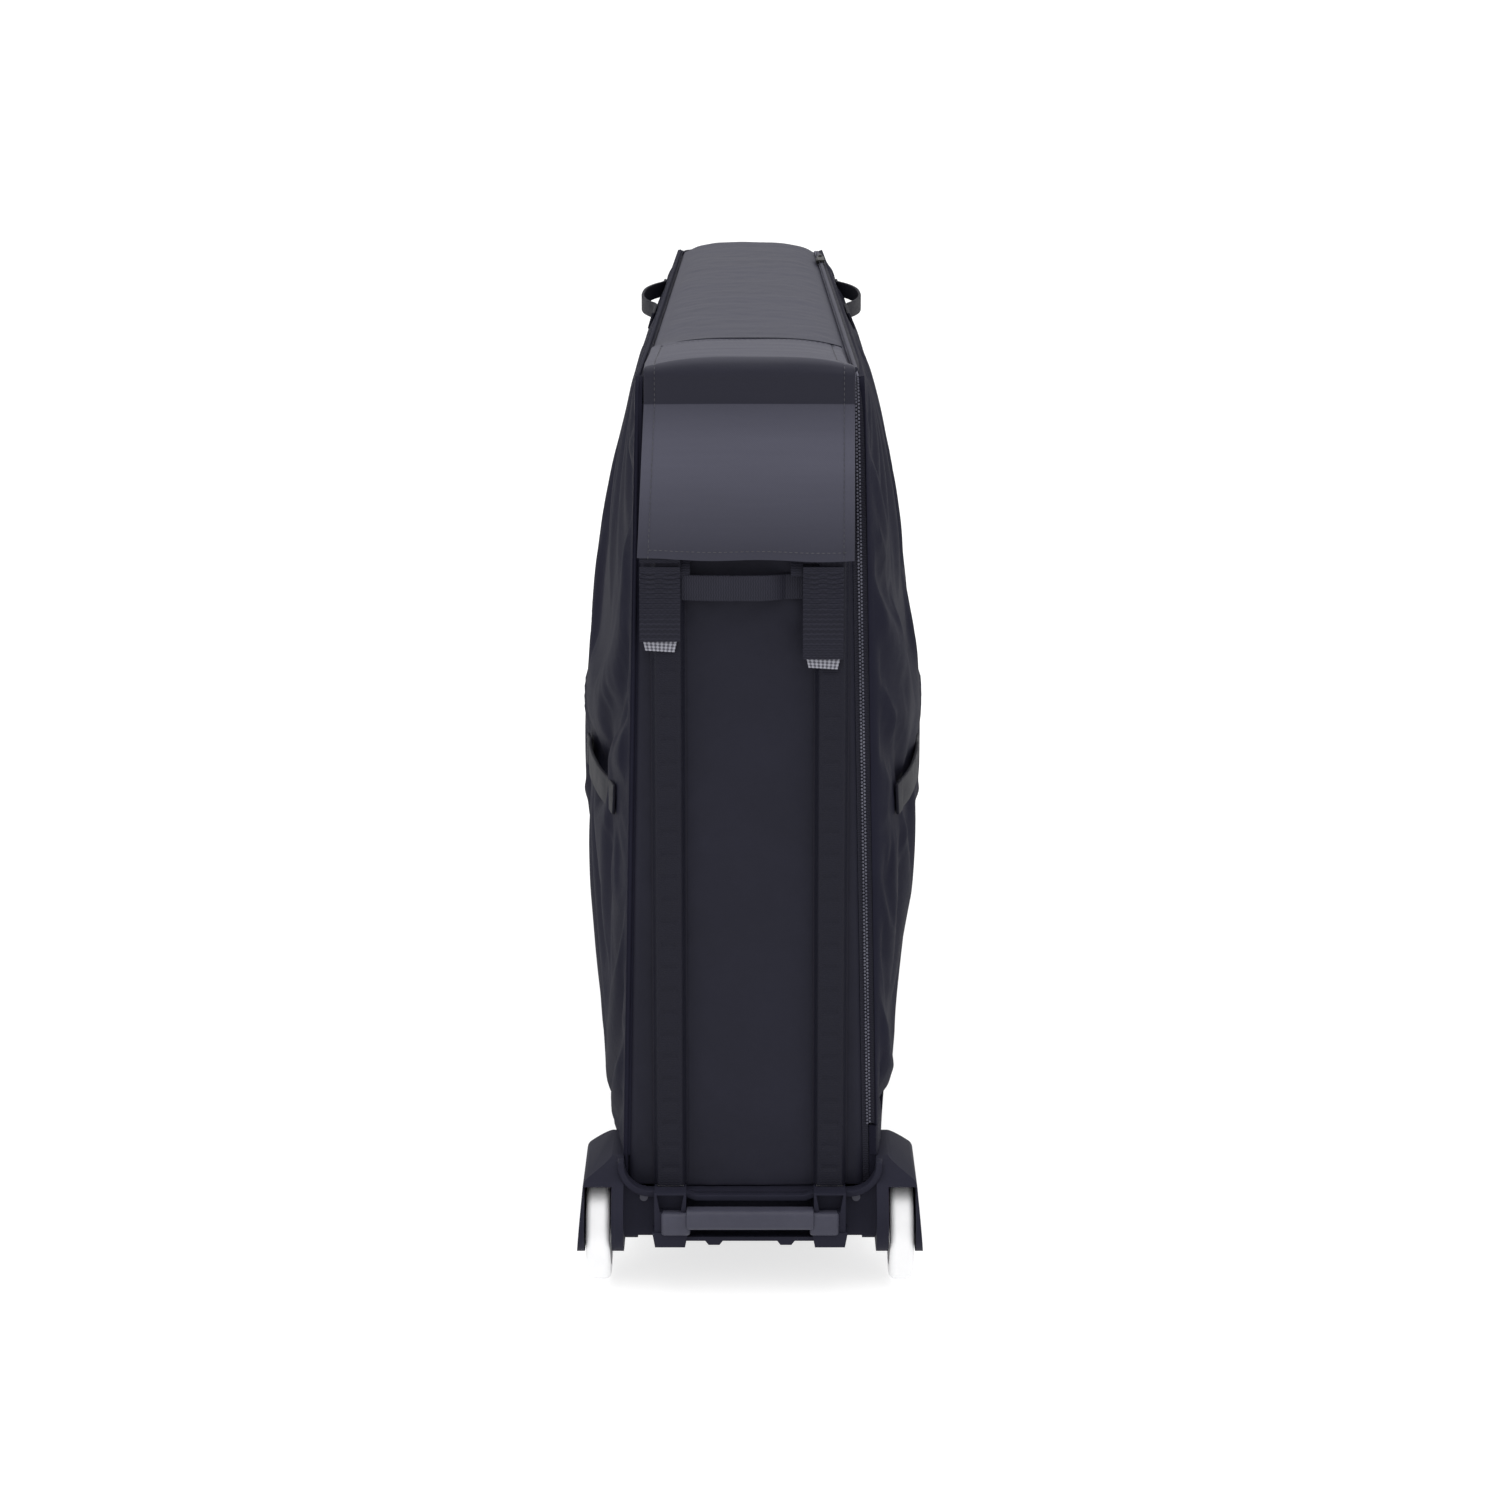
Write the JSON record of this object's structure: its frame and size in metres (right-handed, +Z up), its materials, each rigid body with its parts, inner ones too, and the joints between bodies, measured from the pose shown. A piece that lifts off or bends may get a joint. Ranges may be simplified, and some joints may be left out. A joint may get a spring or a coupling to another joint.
{
  "type": "bike travel case",
  "caption": "Soft padded bicycle travel case on a moulded wheeled base, with a zipped side door, webbing handles and a grip bar beside the wheels.",
  "frame": {"origin": "on the floor below the middle of the case", "axes": "+X to the right seen from the wheel end, +Y from the wheels to the front, +Z up"},
  "size_m": [0.3266, 1.4, 0.85],
  "materials": {
    "case_cloth": "padded coated polyester",
    "guard_cloth": "smooth coated cloth",
    "webbing": "woven webbing",
    "tip_webbing": "light grey woven binding",
    "moulding": "moulded plastic",
    "tread": "white polyurethane",
    "hub_plastic": "moulded plastic",
    "steel": "zinc plated",
    "black_steel": "black",
    "batten": "flat bar",
    "rail": "anodised",
    "rubber": "moulded",
    "board": "fluted sheet",
    "foam": "closed cell foam",
    "zip": "coil zip",
    "lining": "padded lining"
  },
  "bodies": {
    "case": {"rear_chassis": "moulding", "rear_grip_bar": "moulding", "chassis_rivets": "black_steel", "chassis_screws": "steel", "wheel_bolts": "steel", "axle_spacers": "steel", "base_tray": "moulding", "skid_rails": "moulding", "front_feet": "moulding", "front_foot_pads": "rubber", "foot_screws": "steel", "floor_board": "board", "frame_block": "foam", "rear_panel": "case_cloth", "top_panel": "case_cloth", "front_panel": "case_cloth", "left_side_panel": "case_cloth", "rear_gusset": "case_cloth", "left_pocket_wall": "lining", "corner_guard": "guard_cloth", "left_sleeve": "webbing", "right_sleeve": "webbing", "left_batten": "batten", "right_batten": "batten", "rear_handle": "webbing", "front_handle": "webbing", "left_side_handle": "webbing", "left_top_handle": "webbing", "left_welt": "case_cloth", "zip_shell_side": "zip", "hem_rail": "rail"},
    "left_wheel": {"left_tyre": "tread", "left_hub": "hub_plastic", "left_bearings": "steel"},
    "right_wheel": {"right_tyre": "tread", "right_hub": "hub_plastic", "right_bearings": "steel"},
    "side_door": {"right_side_door": "case_cloth", "right_pocket_wall": "lining", "right_side_handle": "webbing", "right_top_handle": "webbing", "zip_door_side": "zip", "door_hem": "webbing"},
    "left_tab": {"left_tab": "webbing", "left_tab_tip": "tip_webbing"},
    "right_tab": {"right_tab": "webbing", "right_tab_tip": "tip_webbing"},
    "slider": {"zip_slider": "black_steel"},
    "pull": {"zip_pull": "black_steel"}
  },
  "joints": [
    {"name": "left_wheel_spin", "type": "hinge", "parent": "case", "child": "left_wheel", "pos_m": [-0.1395, -0.646, 0.048], "axis": [1, 0, 0], "continuous": true},
    {"name": "right_wheel_spin", "type": "hinge", "parent": "case", "child": "right_wheel", "pos_m": [0.1395, -0.646, 0.048], "axis": [1, 0, 0], "continuous": true},
    {"name": "side_door_fold", "type": "hinge", "parent": "case", "child": "side_door", "pos_m": [0.1185, 0.04, 0.1058], "axis": [0, 1, 0], "range_deg": [0, 90]},
    {"name": "left_tab_lift", "type": "hinge", "parent": "case", "child": "left_tab", "pos_m": [-0.08, -0.64632, 0.672], "axis": [-1, 0, 0], "range_deg": [0, 105]},
    {"name": "right_tab_lift", "type": "hinge", "parent": "case", "child": "right_tab", "pos_m": [0.065, -0.64632, 0.672], "axis": [-1, 0, 0], "range_deg": [0, 105]},
    {"name": "zip_slide", "type": "slide", "parent": "case", "child": "slider", "axis": [0.0156, -0.9999, 0], "range_m": [0, 0.85]},
    {"name": "zip_pull_flip", "type": "hinge", "parent": "slider", "child": "pull", "pos_m": [0.07987, 0.31, 0.8434], "axis": [-0.9999, -0.0156, 0], "range_deg": [0, 170]}
  ]
}
